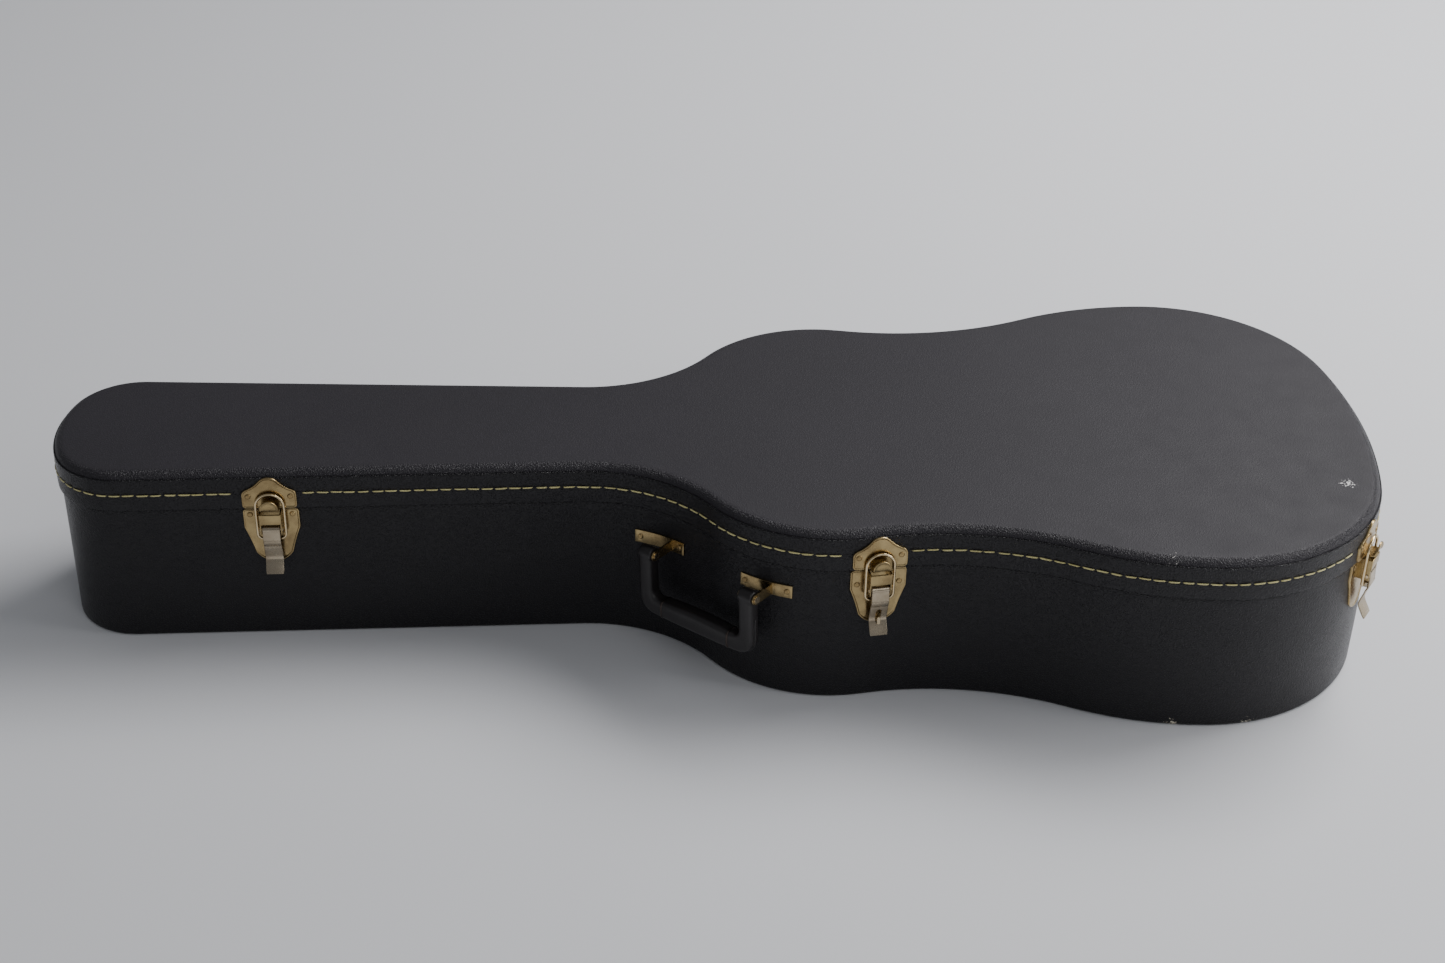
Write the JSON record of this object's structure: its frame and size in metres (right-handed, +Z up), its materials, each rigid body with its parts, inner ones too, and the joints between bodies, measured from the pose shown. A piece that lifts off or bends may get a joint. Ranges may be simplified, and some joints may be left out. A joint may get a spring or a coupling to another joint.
{
  "type": "guitar case",
  "caption": "Hard-shell case in the outline of a flat-top guitar, with a hinged lid, draw latches, a swinging handle and a lined inside.",
  "frame": {"origin": "on the floor, under the middle of the case's length and width", "axes": "+X to the tail (body) end, -Y the side with the handle and latches, +Z up"},
  "size_m": [1.091, 0.43, 0.16],
  "materials": {
    "plywood": "raw plywood",
    "vinyl": "embossed black vinyl, satin",
    "band_vinyl": "coarse-grained black vinyl, semi-gloss",
    "lip_board": "black fibre strip",
    "thread": "waxed thread",
    "plush": "short-pile plush over foam",
    "ribbon": "woven ribbon",
    "brass_plate": "worn brass plating",
    "rivet_brass": "worn brass plating",
    "lever_nickel": "plating worn to bare metal",
    "loop_wire": "polished plated wire",
    "pin_steel": "polished",
    "handle_grip": "moulded black, satin",
    "core_steel": "plain steel strip"
  },
  "bodies": {
    "base": {"base_floor_panel": "plywood", "base_rim_front": "plywood", "base_rim_back": "plywood", "base_skin_side": "vinyl", "base_skin_bottom": "vinyl", "closing_lip_front": "lip_board", "closing_lip_back": "lip_board", "lining_floor": "plush", "lining_wall_front": "plush", "lining_wall_back": "plush", "partition_body": "plush", "partition_head": "plush", "compartment_shelf": "plush", "neck_cradle": "plush", "headstock_pad": "plush", "strike_plate_neck": "brass_plate", "strike_plate_waist": "brass_plate", "strike_plate_tail": "brass_plate", "lever_pin_neck": "pin_steel", "lever_pin_waist": "pin_steel", "lever_pin_tail": "pin_steel", "latch_rivets_base": "rivet_brass", "handle_bracket_head": "brass_plate", "handle_bracket_tail": "brass_plate", "handle_pins": "pin_steel", "handle_rivets": "rivet_brass", "hinge_tail_base": "brass_plate", "hinge_waist_base": "brass_plate", "hinge_head_base": "brass_plate", "hinge_pins": "pin_steel", "hinge_rivets_base": "rivet_brass"},
    "lid": {"lid_panel": "plywood", "lid_rim_front": "plywood", "lid_rim_back": "plywood", "lid_skin": "vinyl", "lid_band": "band_vinyl", "lid_stitching": "thread", "lid_lining_top": "plush", "lid_lining_wall": "plush", "catch_plate_neck": "brass_plate", "catch_plate_waist": "brass_plate", "catch_plate_tail": "brass_plate", "latch_rivets_lid": "rivet_brass", "hinge_tail_lid": "brass_plate", "hinge_waist_lid": "brass_plate", "hinge_head_lid": "brass_plate", "hinge_rivets_lid": "rivet_brass"},
    "handle": {"handle_grip": "handle_grip", "handle_core": "core_steel"},
    "compartment_lid": {"compartment_lid": "plush", "compartment_pivots": "pin_steel", "compartment_pull": "ribbon"},
    "lock_post": {"lock_post": "pin_steel"},
    "lever_neck": {"lever_neck": "lever_nickel"},
    "bail_neck": {"bail_neck": "loop_wire"},
    "lever_waist": {"lever_waist": "lever_nickel"},
    "bail_waist": {"bail_waist": "loop_wire"},
    "lever_tail": {"lever_tail": "lever_nickel"},
    "bail_tail": {"bail_tail": "loop_wire"}
  },
  "joints": [
    {"name": "lid_hinge", "type": "hinge", "parent": "base", "child": "lid", "pos_m": [0.34435, 0.21153, 0.1245], "axis": [-0.9895, -0.1444, 0], "range_deg": [0, 105]},
    {"name": "handle_swing", "type": "hinge", "parent": "base", "child": "handle", "pos_m": [-0.01822, -0.13159, 0.0977], "axis": [-0.7504, 0.6596, -0.0427], "range_deg": [-5, 160]},
    {"name": "compartment_hinge", "type": "hinge", "parent": "base", "child": "compartment_lid", "pos_m": [-0.2, 0.022, 0.0645], "axis": [-1, 0, 0], "range_deg": [0, 92]},
    {"name": "lock_turn", "type": "hinge", "parent": "base", "child": "lock_post", "pos_m": [0.123, -0.16474, 0.0795], "axis": [0.1685, -0.9857, 0], "range_deg": [0, 90]},
    {"name": "lever_neck_pivot", "type": "hinge", "parent": "base", "child": "lever_neck", "pos_m": [-0.36184, -0.07967, 0.1085], "axis": [-0.9995, -0.0302, 0], "range_deg": [0, 95]},
    {"name": "bail_neck_pivot", "type": "hinge", "parent": "lever_neck", "child": "bail_neck", "pos_m": [-0.36189, -0.07807, 0.0988], "axis": [0.9995, 0.0302, 0], "range_deg": [0, 130]},
    {"name": "lever_waist_pivot", "type": "hinge", "parent": "base", "child": "lever_waist", "pos_m": [0.12391, -0.17006, 0.1085], "axis": [-0.9857, -0.1685, 0], "range_deg": [0, 95]},
    {"name": "bail_waist_pivot", "type": "hinge", "parent": "lever_waist", "child": "bail_waist", "pos_m": [0.12364, -0.16848, 0.0988], "axis": [0.9857, 0.1685, 0], "range_deg": [0, 130]},
    {"name": "lever_tail_pivot", "type": "hinge", "parent": "base", "child": "lever_tail", "pos_m": [0.51748, -0.14858, 0.1085], "axis": [-0.5579, -0.8299, 0], "range_deg": [0, 95]},
    {"name": "bail_tail_pivot", "type": "hinge", "parent": "lever_tail", "child": "bail_tail", "pos_m": [0.51615, -0.14769, 0.0988], "axis": [0.5579, 0.8299, 0], "range_deg": [0, 130]}
  ],
  "couplings": [
    {"joint": "bail_neck_pivot", "follows": "lever_neck_pivot", "ratio": 1.35},
    {"joint": "bail_waist_pivot", "follows": "lever_waist_pivot", "ratio": 1.35},
    {"joint": "bail_tail_pivot", "follows": "lever_tail_pivot", "ratio": 1.35}
  ]
}
